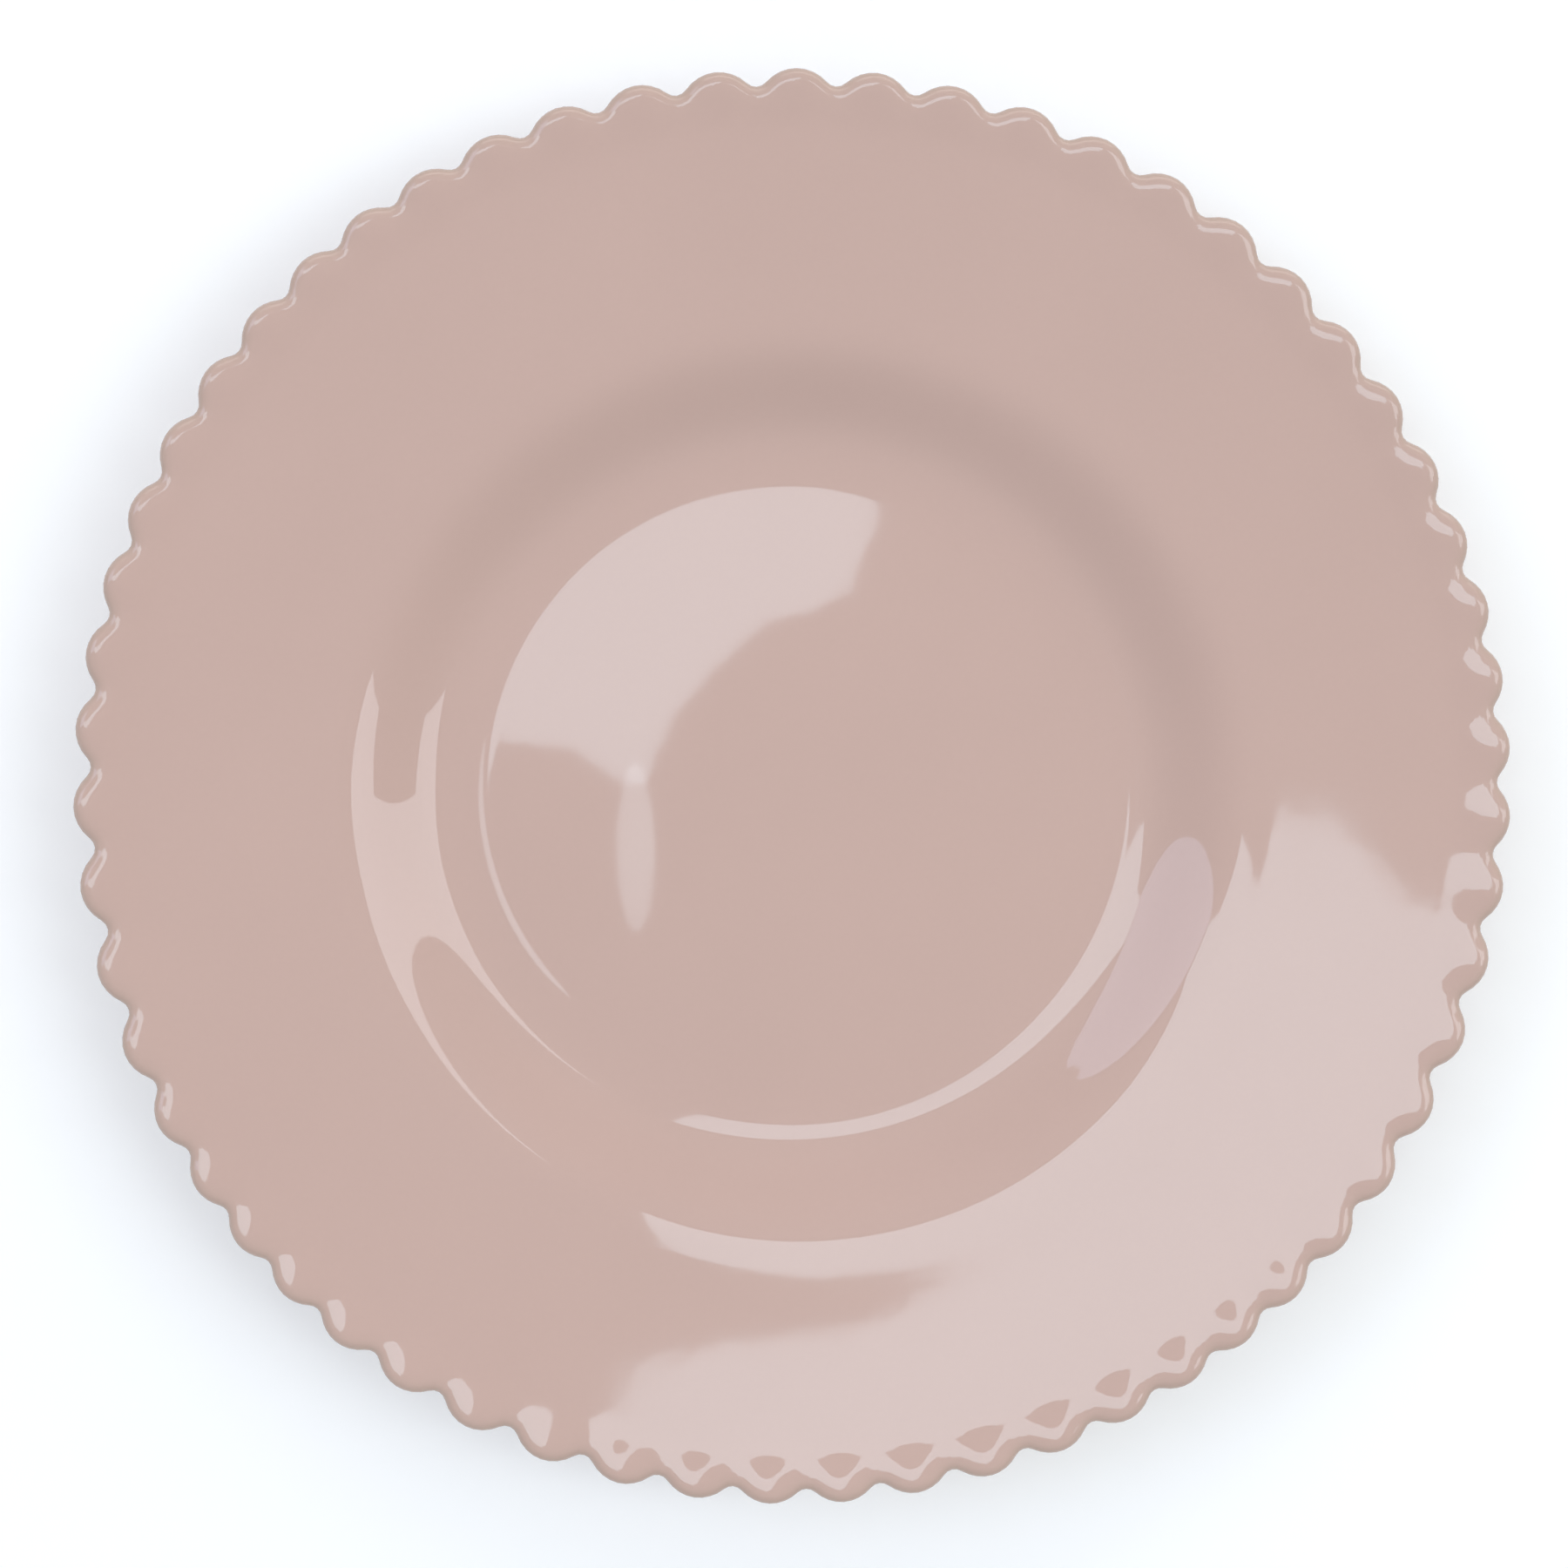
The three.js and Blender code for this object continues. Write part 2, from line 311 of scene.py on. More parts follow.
FRONT_CORNERS = (
    (-0.19, -0.46), (-0.10, -0.26), (0.01, -0.13), (0.17, 0.02), (0.25, 0.04), (0.32, 0.06),
    (0.37, 0.09), (0.42, 0.11), (0.46, 0.22), (1.14, 1.88), (0.20, 1.52), (-0.60, 1.27),
    (-1.60, 1.20), (-4.10, 1.50), (-4.05, 0.81), (-3.00, 0.41), (-2.00, -0.28), (-0.60, -0.33),
    (-0.40, -0.36), (-0.29, -0.44), (-0.25, -0.46),
)
SIDE_CORNERS = (
    (0.40, 0.40), (0.75, 0.26), (0.90, 0.04), (0.85, -0.16), (1.05, -0.43), (1.85, -0.54),
    (2.00, -0.17), (3.01, -0.11), (3.25, 0.77), (2.11, 0.64),
)
LEFT_CORNERS = ((-0.74, 0.30), (-1.06, 1.02), (-1.98, 1.07), (-2.24, 0.0), (-1.24, 0.09), (-0.70, 0.12))
COOL_WHITE = (0.72, 0.90, 1.0)
PANELS = (
    Panel("front_panel", 8.0, FRONT_CORNERS, COOL_WHITE, 4.3),
    Panel("side_panel", 2.0, SIDE_CORNERS, (0.86, 0.94, 1.0), 3.6),
    Panel("left_panel", 1.5, LEFT_CORNERS, (0.64, 0.75, 1.0), 2.85),
)


class Softbox(NamedTuple):
    """A lamp that the gloss shows and the camera doesn't."""

    name: str
    shape: str
    place: tuple
    aim: tuple
    size: tuple
    colour: tuple
    radiance: float
    spread: float = math.pi  # angle of the cone that it lights


SOFTBOXES = (
    Softbox(
        name="top_softbox", shape="RECTANGLE", place=(0.20, 1.50, 0.80), aim=(0.0, 0.0, 0.0),
        size=(2.40, 0.62), colour=(1.0, 0.96, 0.92), radiance=1.58,
    ),
    Softbox(
        name="tail_spot", shape="ELLIPSE", place=(-0.0545, -0.090, 1.0), aim=(-0.045, -0.013, 0.0),
        size=(0.020, 0.090), colour=COOL_WHITE, radiance=3.5, spread=math.radians(16.0),
    ),
)


class Row(NamedTuple):
    """One row of faces round the plate, as a point of its profile."""

    radius: float
    height: float
    inset: float = 0.0  # from the scalloped outline, where the row follows it
    roundness: float = 1.0  # 0 follows the scallops, 1 is a circle
    slope: float = 0.0  # of the face there
    side: float = 0.0  # 1 on the face, -1 on the back, for the easing towards the lip
    ripple: float = 0.0  # share of the glaze's unevenness


class Fineness(NamedTuple):
    """Steps between the rows of a skin, and how uneven it is."""

    floor: float
    bends: float
    rim: float
    edge: float
    back: float
    lip_steps: int
    foot_steps: int
    ripple: float


SEEN = Fineness(
    floor=6 * MM, bends=1.35 * MM, rim=3 * MM, edge=0.9 * MM, back=2 * MM,
    lip_steps=12, foot_steps=7, ripple=1.0,
)
HIDDEN = Fineness(
    floor=15 * MM, bends=3.6 * MM, rim=9 * MM, edge=3.4 * MM, back=4 * MM,
    lip_steps=6, foot_steps=4, ripple=0.0,
)
MIDDLE_RADII = (0.0, 2 * MM)  # the first rows of the face
MIDDLE_END = 6 * MM  # where even steps begin
BEND_REACH = 4  # a bend fades out over so many times its softness
OUTLINE_MEAN = 0.4  # share of the scallops' depth from the tips in to the outline's mean radius
EDGE_REACH = 12.5 * MM  # how far in from the outline the rows take up the scallops
PLAIN_STEP = 9 * MM  # where a face is nearly flat
BACK_EDGE_STEP = 2.4 * MM
FOOT_HOLLOW = 4 * MM  # reach of the hollow between the back and the foot
FOOT_HOLLOW_BEND = 0.2 * MM  # from the foot's root out to the bend of that hollow
FOOT_SIDE_LEAN = 0.3 * MM  # how far the foot's side leans out, at the next height
FOOT_SIDE_HEIGHT = 1.6 * MM  # above the glaze line
FOOT_ROUND_STEPS = 5
BASE_HOLLOW = 2.5 * MM  # reach of the hollow between the foot and the base
BASE_HOLLOW_STEPS = 7
BEAD_TOP = 0.3  # height of the bead at the glaze line, in thicknesses of the glaze
BEAD = ((0.72, 0.0), (0.35, -0.1))  # the rest of it: out from the foot and up, in the same measure


class Field:
    """One value of a node tree. Arithmetic on it adds Math nodes to the tree."""

    def __init__(self, tree, socket):
        self.tree = tree
        self.socket = socket

    def apply(self, operation, *values):
        node = self.tree.nodes.new("ShaderNodeMath")
        node.operation = operation
        for place, value in zip(node.inputs, (self, *values)):
            connect(self.tree, value, place)
        return Field(self.tree, node.outputs[0])

    def __add__(self, other):
        return self.apply("ADD", other)

    def __sub__(self, other):
        return self.apply("SUBTRACT", other)

    def __rsub__(self, other):
        return self * -1.0 + other

    def __mul__(self, other):
        return self.apply("MULTIPLY", other)

    def __truediv__(self, other):
        return self.apply("DIVIDE", other)

    def __lt__(self, other):
        return self.apply("LESS_THAN", other)

    def __abs__(self):
        return self.apply("ABSOLUTE")

    def floor(self):
        return self.apply("FLOOR")

    def cos(self):
        return self.apply("COSINE")

    def sin(self):
        return self.apply("SINE")

    def exp(self):
        return self.apply("EXPONENT")

    def log(self):
        return self.apply("LOGARITHM", math.e)

    def length(self, other):
        return (self * self + other * other).apply("SQRT")

    def angle(self, along):
        return self.apply("ARCTAN2", along)

    def between(self, low, high):
        return self.apply("MAXIMUM", low).apply("MINIMUM", high)

    def choose(self, yes, no):
        """`yes` where this value is 1, `no` where it is 0."""
        return (yes - no) * self + no


def connect(tree, value, place):
    """Feeds a field, a socket or a plain value into an input socket."""
    if isinstance(value, Field):
        tree.links.new(value.socket, place)
    elif isinstance(value, bpy.types.NodeSocket):
        tree.links.new(value, place)
    else:
        place.default_value = value


def add_node(tree, kind, inputs=None, **settings):
    """A new node with its settings made and its named inputs fed."""
    node = tree.nodes.new(kind)
    for name, value in settings.items():
        setattr(node, name, value)
    for name, value in (inputs or {}).items():
        connect(tree, value, node.inputs[name])
    return node


# Shape of the plate

def soft_ramp(distance, bend):
    """Height gained over a bend that turns from flat to a slope of 1."""
    return max(0.0, distance) + bend * math.log1p(math.exp(-abs(distance) / bend))


def soft_step(distance, bend):
    """Share of that slope reached."""
    return 0.5 + 0.5 * math.tanh(distance / (2 * bend))


class PlateShape:
    """The plate's section, worked out from its sizes."""

    def __init__(self, sizes):
        self.sizes = sizes
        self.lift = math.tan(sizes.floor_lift)
        self.wall = math.tan(sizes.wall_slope)
        self.rim = math.tan(sizes.rim_slope)
        self.floor_top = sizes.foot_recess + sizes.floor_thickness
        self.edge_radius = sizes.outer_radius - OUTLINE_MEAN * sizes.scallop_depth
        self.foot_inner = sizes.foot_radius - sizes.foot_width

    def scallop_round(self):
        """Round of a scallop of even width that touches the notches on both sides of it."""
        outer = self.sizes.outer_radius
        notch = self.sizes.notch_radius
        notch_centre = outer - self.sizes.scallop_depth + notch
        along = notch_centre * math.cos(math.pi / self.sizes.scallops)
        squares = outer ** 2 + notch_centre ** 2 - notch ** 2
        return (squares - 2 * outer * along) / (2 * (outer + notch - along))

    def face(self, r):
        """Height of the face without the edge's upturn, which the sweep adds."""
        sizes = self.sizes
        lift = self.lift * soft_ramp(r - sizes.floor_lift_radius, sizes.floor_lift_bend)
        wall = (self.wall - self.lift) * soft_ramp(r - sizes.wall_foot_radius, sizes.wall_foot_bend)
        shoulder = (self.wall - self.rim) * soft_ramp(r - sizes.shoulder_radius, sizes.shoulder_bend)
        curve = max(0.0, r - sizes.rim_curve_start) ** 2 / (2 * sizes.rim_curve)
        return self.floor_top + lift + wall - shoulder + curve

    def slope(self, r):
        """Slope of that face."""
        sizes = self.sizes
        lift = self.lift * soft_step(r - sizes.floor_lift_radius, sizes.floor_lift_bend)
        wall = (self.wall - self.lift) * soft_step(r - sizes.wall_foot_radius, sizes.wall_foot_bend)
        shoulder = (self.wall - self.rim) * soft_step(r - sizes.shoulder_radius, sizes.shoulder_bend)
        curve = max(0.0, r - sizes.rim_curve_start) / sizes.rim_curve
        return lift + wall - shoulder + curve

    def thickness(self, r):
        """Thickness of the plate, glaze included."""
        sizes = self.sizes
        share = (r - sizes.shoulder_radius) / (sizes.outer_radius - sizes.shoulder_radius)
        share = min(1.0, max(0.0, share))
        return sizes.floor_thickness + share * (sizes.edge_thickness - sizes.floor_thickness)

    def skin(self, r, inset):
        """Height of a skin so far under the face."""
        return self.face(r) - inset * math.hypot(1, self.slope(r))

    def back(self, r, inset):
        """Height of a skin so far inside the back."""
        return self.face(r) - (self.thickness(r) - inset) * math.hypot(1, self.slope(r))

    def face_rows(self, inset, radii, ripple):
        """Rows of the face inside the scalloped edge."""
        rows = []
        for r in radii:
            rows.append(Row(r, self.skin(r, inset), 0.0, 1.0, self.slope(r), 1.0, ripple))
        return rows

    def edge_rows(self, inset, depths, side, ripple):
        """Rows between the rim's circles and the lip, which take up the scallops."""
        reach = depths[0] - depths[-1]
        rows = []
        for depth in depths:
            r = self.edge_radius - inset - depth
            share = (depth - depths[-1]) / reach
            roundness = share * share * (3 - 2 * share)
            height = self.skin(r, inset) if side > 0 else self.back(r, inset)
            rows.append(Row(r, height, inset + depth, roundness, self.slope(r), side, ripple))
        return rows

    def lip_rows(self, inset, steps, ripple):
        """Rows round the lip, from the face to the back."""
        rows = []
        power = 2 / self.sizes.lip_fullness
        for step in range(steps + 1):
            turned = math.pi * step / steps
            depth = (self.sizes.lip_round - inset) * (1 - abs(math.sin(turned)) ** power)
            r = self.edge_radius - inset - depth
            half = self.thickness(r) / 2
            rise = math.copysign(abs(math.cos(turned)) ** power, math.cos(turned))
            height = self.face(r) - half + (half - inset) * rise
            fade = ripple * (1 + math.cos(turned)) / 2
            rows.append(Row(r, height, inset + depth, 0.0, self.slope(r), math.cos(turned), fade))
        return rows

    def skin_rows(self, inset, fineness):
        """Rows from the middle of the face, round the lip and down to the glaze line on the foot."""
        sizes = self.sizes
        ripple = fineness.ripple
        floor_end = sizes.floor_lift_radius - BEND_REACH * sizes.floor_lift_bend
        shoulder_end = sizes.shoulder_radius + BEND_REACH * sizes.shoulder_bend
        lip_start = sizes.lip_round - inset
        rim_end = self.edge_radius - inset - EDGE_REACH
        radii = list(MIDDLE_RADII)
        radii += spread(MIDDLE_END, floor_end, fineness.floor)
        radii += spread(floor_end, shoulder_end, fineness.bends)[1:]
        radii += spread(shoulder_end, rim_end, fineness.rim)[1:-1]
        rows = self.face_rows(inset, radii, ripple)
        rows += self.edge_rows(inset, spread(EDGE_REACH, lip_start, fineness.edge), 1.0, ripple)[:-1]
        rows += self.lip_rows(inset, fineness.lip_steps, ripple)
        rows += self.edge_rows(inset, spread(EDGE_REACH, lip_start, BACK_EDGE_STEP), -1.0, 0.0)[-2::-1]
        root = sizes.foot_radius + sizes.foot_flare - inset
        back_end = root + FOOT_HOLLOW
        backs = spread(rim_end, shoulder_end, PLAIN_STEP)[1:]
        backs += spread(shoulder_end, back_end, fineness.back)[1:]
        rows += [Row(r, self.back(r, inset), 0.0, 1.0, self.slope(r), -1.0) for r in backs]
        rows += self.foot_side(inset, back_end, root, fineness.foot_steps)
        return rows

    def foot_side(self, inset, back_end, root, steps):
        """Rows of the hollow behind the foot, and of the foot's side down to the glaze line."""
        sizes = self.sizes
        glazed = sizes.glaze_thickness - inset
        start = Vector((back_end, self.back(back_end, inset)))
        bend = Vector((root + FOOT_HOLLOW_BEND, self.back(root, inset)))
        side = sizes.foot_radius + glazed
        end = Vector((side + FOOT_SIDE_LEAN, sizes.glaze_line + FOOT_SIDE_HEIGHT))
        places = [curve_point(start, bend, end, step / steps) for step in range(1, steps + 1)]
        places.append(Vector((side, sizes.glaze_line + BEAD_TOP * glazed)))
        return [Row(place.x, place.y) for place in places]

    def coat_rows(self):
        """The glaze coat, from the middle of the face out and round, and back along the clay."""
        sizes = self.sizes
        inner = self.skin_rows(sizes.glaze_thickness, HIDDEN)
        return self.skin_rows(0.0, SEEN) + self.bead_rows(sizes.foot_radius, 1) + inner[::-1]

    def bead_rows(self, foot, out):
        """The rounded edge of the glaze on a side of the foot, from its own face to the clay."""
        sizes = self.sizes
        glaze = sizes.glaze_thickness
        return [Row(foot + out * aside * glaze, sizes.glaze_line + up * glaze) for aside, up in BEAD]

    def foot_rows(self):
        """The bare foot, from the outer glaze line to the inner one."""
        sizes = self.sizes
        rounding = sizes.foot_round
        rows = []
        for step in range(FOOT_ROUND_STEPS + 1):
            turned = math.pi / 2 * step / FOOT_ROUND_STEPS
            r = sizes.foot_radius - rounding * (1 - math.cos(turned))
            rows.append(Row(r, rounding * (1 - math.sin(turned))))
        middle = sizes.foot_radius - sizes.foot_width / 2
        rows.append(Row(middle, 0.0))
        return rows + [Row(2 * middle - row.radius, row.height) for row in rows[-2::-1]]

    def base_rows(self, inset):
        """The base inside the foot, from the glaze line to the middle."""
        sizes = self.sizes
        glazed = sizes.glaze_thickness - inset
        height = sizes.foot_recess + inset
        start = Vector((self.foot_inner - glazed, sizes.glaze_line + BEAD_TOP * glazed))
        bend = Vector((self.foot_inner - sizes.foot_flare + inset, height))
        end = Vector((bend.x - BASE_HOLLOW, height))
        steps = BASE_HOLLOW_STEPS
        places = [curve_point(start, bend, end, step / steps) for step in range(steps + 1)]
        places += [Vector((r, height)) for r in spread(end.x, 0.0, PLAIN_STEP)[1:]]
        return [Row(place.x, place.y) for place in places]

    def base_glaze_rows(self):
        """The glaze in the base, from the middle along the clay to the foot, and back on its own face."""
        bead = self.bead_rows(self.foot_inner, -1)[::-1]
        return self.base_rows(self.sizes.glaze_thickness)[::-1] + bead + self.base_rows(0.0)

    def body_rows(self):
        """The clay, from the middle of the face round the lip and the foot to the middle of the base."""
        inset = self.sizes.glaze_thickness
        return self.skin_rows(inset, HIDDEN) + self.foot_rows() + self.base_rows(inset)


def spread(start, end, step):
    """Even places from start to end, about a step apart."""
    count = max(1, round(abs(end - start) / step))
    return [start + (end - start) * place / count for place in range(count + 1)]


def curve_point(start, bend, end, share):
    """Point of a curve that leaves start towards bend and arrives at end from it."""
    return start.lerp(bend, share).lerp(bend.lerp(end, share), share)


# Sweep of a profile round the scalloped outline

SEAM = 1e-6  # points nearer than this are one
RIPPLES = 22.0  # of the glaze's unevenness, per metre


def sweep_inputs(tree):
    """The tree's named inputs, as {name: socket identifier}."""
    kinds = {
        "Profile": "NodeSocketGeometry",
        "Scallops": "NodeSocketInt",
        "Steps": "NodeSocketInt",
        "Material": "NodeSocketMaterial",
    }
    sizes = (
        "Outer radius", "Scallop round", "Notch radius", "First notch", "Upturn", "Upturn radius",
        "Upturn width", "Upturn bend", "Notch narrowing", "Notch flattening", "Lip ease", "Lip ease reach",
        "Ripple",
    )
    kinds.update(dict.fromkeys(sizes, "NodeSocketFloat"))
    return {
        name: tree.interface.new_socket(name=name, in_out="INPUT", socket_type=kind).identifier
        for name, kind in kinds.items()
    }


def make_sweep_tree():
    """Geometry Nodes that sweep a profile's rows round the plate, and the identifiers of its inputs."""
    tree = bpy.data.node_groups.new("Sweep round the scallops", "GeometryNodeTree")
    identifiers = sweep_inputs(tree)
    tree.interface.new_socket(name="Piece", in_out="OUTPUT", socket_type="NodeSocketGeometry")
    given = tree.nodes.new("NodeGroupInput").outputs
    value = {name: Field(tree, given[name]) for name in identifiers}
    profile = given["Profile"]

    counted = add_node(tree, "GeometryNodeAttributeDomainSize", {"Geometry": profile})
    rows = Field(tree, counted.outputs["Point Count"])
    columns = value["Scallops"] * value["Steps"] * 2
    sheet = add_node(tree, "GeometryNodeMeshGrid", {"Vertices X": columns + 1, "Vertices Y": rows})
    index = Field(tree, add_node(tree, "GeometryNodeInputIndex").outputs["Index"])
    column = ((index + 0.5) / rows).floor()
    row = index - column * rows

    place = add_node(tree, "GeometryNodeInputPosition").outputs["Position"]
    sampled = sample_row(tree, profile, place, row, "FLOAT_VECTOR")
    parts = add_node(tree, "ShaderNodeSeparateXYZ", {"Vector": sampled}).outputs
    radius = Field(tree, parts["X"])
    height = Field(tree, parts["Z"])
    fact = {}
    for name in ("inset", "roundness", "slope", "side", "ripple"):
        named = add_node(tree, "GeometryNodeInputNamedAttribute", {"Name": name}, data_type="FLOAT")
        fact[name] = Field(tree, sample_row(tree, profile, named.outputs["Attribute"], row, "FLOAT"))

    outline = ScallopOutline(tree, value, column)
    x, y = outline.point(fact["inset"])
    spoke_x, spoke_y = outline.point(0.0)
    spoke = spoke_x.length(spoke_y)
    to_circle = radius / spoke
    x = fact["roundness"].choose(spoke_x * to_circle, x)
    y = fact["roundness"].choose(spoke_y * to_circle, y)

    across = x.length(y)
    to_notch = outline.to_notch(x, y)
    upturned = (1.0 - to_notch * value["Notch flattening"]) * value["Upturn"]
    bend = value["Upturn bend"]
    width = (1.0 - to_notch * value["Notch narrowing"]) * value["Upturn width"]
    into_edge = (across - value["Upturn radius"]) / bend
    past_edge = into_edge - width / bend
    upturn = ((into_edge.exp() + 1.0) / (past_edge.exp() + 1.0)).log() * bend * upturned
    depth = outline.depth(x, y).apply("MAXIMUM", 0.0)
    near_lip = (1.0 - depth / value["Lip ease reach"]).between(0.0, 1.0)
    ease = near_lip * near_lip * value["Lip ease"]
    flat = add_node(tree, "ShaderNodeCombineXYZ", {"X": x, "Y": y}).outputs["Vector"]
    ripple = (noise(tree, flat, RIPPLES, 1.0) - 0.5) * value["Ripple"] * fact["ripple"]
    z = height + fact["slope"] * (across - radius) + upturn - fact["side"] * ease + ripple

    moved = add_node(tree, "ShaderNodeCombineXYZ", {"X": x, "Y": y, "Z": z}).outputs["Vector"]
    placed = add_node(
        tree, "GeometryNodeSetPosition", {"Geometry": sheet.outputs["Mesh"], "Position": moved},
    )
    # Lip mask: where the glaze runs thin, and where shade is painted along the edge
    thin_and_shaded = (depth / EDGE_FADE * -1.0).exp()
    stored = add_node(
        tree, "GeometryNodeStoreNamedAttribute", data_type="FLOAT", domain="POINT",
        inputs={"Geometry": placed.outputs[0], "Name": "lip_glaze_and_shade", "Value": thin_and_shaded},
    )
    finish_sweep(tree, stored.outputs[0], given["Material"])
    return tree, identifiers


def finish_sweep(tree, sheet, material):
    """Closes the swept sheet, turns its faces outward and gives it its material."""
    closed = add_node(tree, "GeometryNodeMergeByDistance", {"Geometry": sheet, "Distance": SEAM})
    outward = add_node(tree, "GeometryNodeFlipFaces", {"Mesh": closed.outputs[0]})
    smooth = add_node(tree, "GeometryNodeSetShadeSmooth", {"Geometry": outward.outputs[0]})
    smooth.inputs["Shade Smooth"].default_value = True
    real = add_node(tree, "GeometryNodeRealizeInstances", {"Geometry": smooth.outputs[0]})
    dressed = add_node(
        tree, "GeometryNodeSetMaterial", {"Geometry": real.outputs[0], "Material": material},
    )
    tree.links.new(dressed.outputs[0], tree.nodes.new("NodeGroupOutput").inputs["Piece"])


def sample_row(tree, profile, field, row, kind):
    """A field of the profile, read at the row's point."""
    node = add_node(tree, "GeometryNodeSampleIndex", data_type=kind, domain="POINT")
    connect(tree, profile, node.inputs["Geometry"])
    connect(tree, field, node.inputs["Value"])
    connect(tree, row, node.inputs["Index"])
    return node.outputs["Value"]


class ScallopOutline:
    """The scalloped outline at one column of faces, in the fields of a node tree."""

    def __init__(self, tree, value, column):
        steps = value["Steps"]
        self.scallops = value["Scallops"]
        self.first_notch = value["First notch"]
        self.lobe = value["Scallop round"]
        self.notch = value["Notch radius"]
        self.centre = value["Outer radius"] - self.lobe
        scallop = ((column + 0.5) / (steps * 2)).floor()
        step = column - scallop * steps * 2
        early = step < steps
        self.hand = early * -2.0 + 1.0
        self.share = early.choose(step, steps * 2 - step) / steps
        self.angle = self.spaced_angle(scallop + 0.5)
        beyond = self.spaced_angle(scallop + 0.5 + self.hand)
        self.notch_angle = (self.angle + beyond) * 0.5
        self.half = abs(beyond - self.angle) * 0.5
        reach = self.lobe + self.notch
        aside = self.centre * self.half.sin()
        self.notch_centre = self.centre * self.half.cos() + (reach * reach - aside * aside).apply("SQRT")
        beyond_lobe = self.notch_centre * self.half.cos() - self.centre
        self.sweep = (self.notch_centre * self.half.sin()).angle(beyond_lobe)

    def spaced_angle(self, count):
        """Angle of a place that lies so many scallops round from the first notch."""
        even = count / self.scallops * math.tau
        angle = even + self.first_notch
        for per_turn, degrees, phase in SPACING_WAVES:
            angle = angle + (even * per_turn + math.radians(phase)).cos() * math.radians(degrees)
        return angle

    def point(self, inset):
        """Place on a line so far inside the outline."""
        in_notch = self.share < NOTCH_SHARE
        notch_turn = self.hand * (self.sweep - self.half) * self.share / NOTCH_SHARE
        notch_way = self.notch_angle + math.pi + notch_turn
        left = (self.share * -1.0 + 1.0) / (1 - NOTCH_SHARE)
        lobe_way = self.angle + self.hand * self.sweep * left
        around = in_notch.choose(self.notch_angle, self.angle)
        distance = in_notch.choose(self.notch_centre, self.centre)
        way = in_notch.choose(notch_way, lobe_way)
        size = in_notch.choose(self.notch + inset, self.lobe - inset)
        x = around.cos() * distance + way.cos() * size
        y = around.sin() * distance + way.sin() * size
        return x, y

    def to_notch(self, x, y):
        """Rises in a smooth wave from 0 in the middle of the scallop to 1 behind the notch."""
        along = x * self.angle.cos() + y * self.angle.sin()
        across = abs(y * self.angle.cos() - x * self.angle.sin())
        share = (across.angle(along) / self.half).between(0.0, 1.0)
        return 0.5 - (share * math.pi).cos() * 0.5

    def depth(self, x, y):
        """How far a place lies inside the outline."""
        along = x * self.angle.cos() + y * self.angle.sin() - self.centre
        across = abs(y * self.angle.cos() - x * self.angle.sin())
        from_lobe = self.lobe - along.length(across)
        notch_x = x - self.notch_angle.cos() * self.notch_centre
        notch_y = y - self.notch_angle.sin() * self.notch_centre
        from_notch = notch_x.length(notch_y) - self.notch
        return (across.angle(along) < self.sweep).choose(from_lobe, from_notch)


def make_piece(name, rows, material):
    """A finished piece of the plate, swept from its rows by Geometry Nodes."""
    sizes = bpy.context.scene.plate_sizes
    profile = bpy.data.meshes.new(name)
    links = [(place, place + 1) for place in range(len(rows) - 1)]
    profile.from_pydata([(row.radius, 0.0, row.height) for row in rows], links, [])
    for fact in ("inset", "roundness", "slope", "side", "ripple"):
        layer = profile.attributes.new(fact, "FLOAT", "POINT")
        layer.data.foreach_set("value", [getattr(row, fact) for row in rows])
    piece = bpy.data.objects.new(name, profile)
    bpy.context.scene.collection.objects.link(piece)
    tree, identifiers = make_sweep_tree()
    values = {
        "Scallops": sizes.scallops,
        "Steps": sizes.steps,
        "Outer radius": sizes.outer_radius,
        "Scallop round": PlateShape(sizes).scallop_round(),
        "Notch radius": sizes.notch_radius,
        "First notch": sizes.first_notch,
        "Upturn": math.tan(sizes.edge_upturn),
        "Upturn radius": sizes.outer_radius - sizes.edge_upturn_depth,
        "Upturn width": sizes.edge_upturn_width,
        "Upturn bend": sizes.edge_upturn_bend,
        "Notch narrowing": sizes.notch_narrowing,
        "Notch flattening": sizes.notch_flattening,
        "Lip ease": sizes.lip_ease,
        "Lip ease reach": sizes.lip_ease_reach,
        "Ripple": sizes.ripple,
        "Material": material,
    }
    sweep = piece.modifiers.new("Sweep", "NODES")
    sweep.node_group = tree
    for label, value in values.items():
        sweep[identifiers[label]] = value
    depsgraph = bpy.context.evaluated_depsgraph_get()
    mesh = bpy.data.meshes.new_from_object(piece.evaluated_get(depsgraph), depsgraph=depsgraph)
    if not mesh.polygons:
        raise RuntimeError(f"the sweep of {name} made no faces")
    piece.modifiers.remove(sweep)
    piece.data = mesh
    mesh.name = name
    bpy.data.meshes.remove(profile)
    return piece


# Materials, with their features per metre and how strong these are

GLAZE_IOR = 1.5
GLAZE_CLOUDS = 26.0
GLAZE_GRAIN = 900.0
GLAZE_GRAIN_SHARE = 0.3
GLAZE_MOTTLE = 0.035  # share by which the colour gets lighter and darker
# features per metre in the lip's darker colour, the thin glaze and the painted edge shade alike
GLAZE_WEAR_AND_SHADE = 120.0
GLAZE_POLISH = 60.0
GLAZE_POLISH_RANGE = 0.02
GLAZE_PEEL = 170.0
GLAZE_PEEL_HEIGHT = 2.5e-6
PIMPLE_CELLS = 34.0
PIMPLE_SHARE = 0.2  # of the cells that have one
PIMPLE_RADIUS = 0.02  # in cells
PIMPLE_HEIGHT = 8.0  # in heights of the peel
CLAY_CLOUDS = 45.0
CLAY_DARKEST = -0.16
CLAY_PALEST = 0.10
FLECK_CELLS = 900.0
FLECK_SHARE = 0.06
FLECK_RADIUS = 0.35
FLECK_DEPTH = 0.75
CLAY_GRIT = 2200.0
CLAY_GRIT_RANGE = 0.12
CLAY_GRIT_HEIGHT = 6e-5
CLAY_SCRATCHES = 420.0


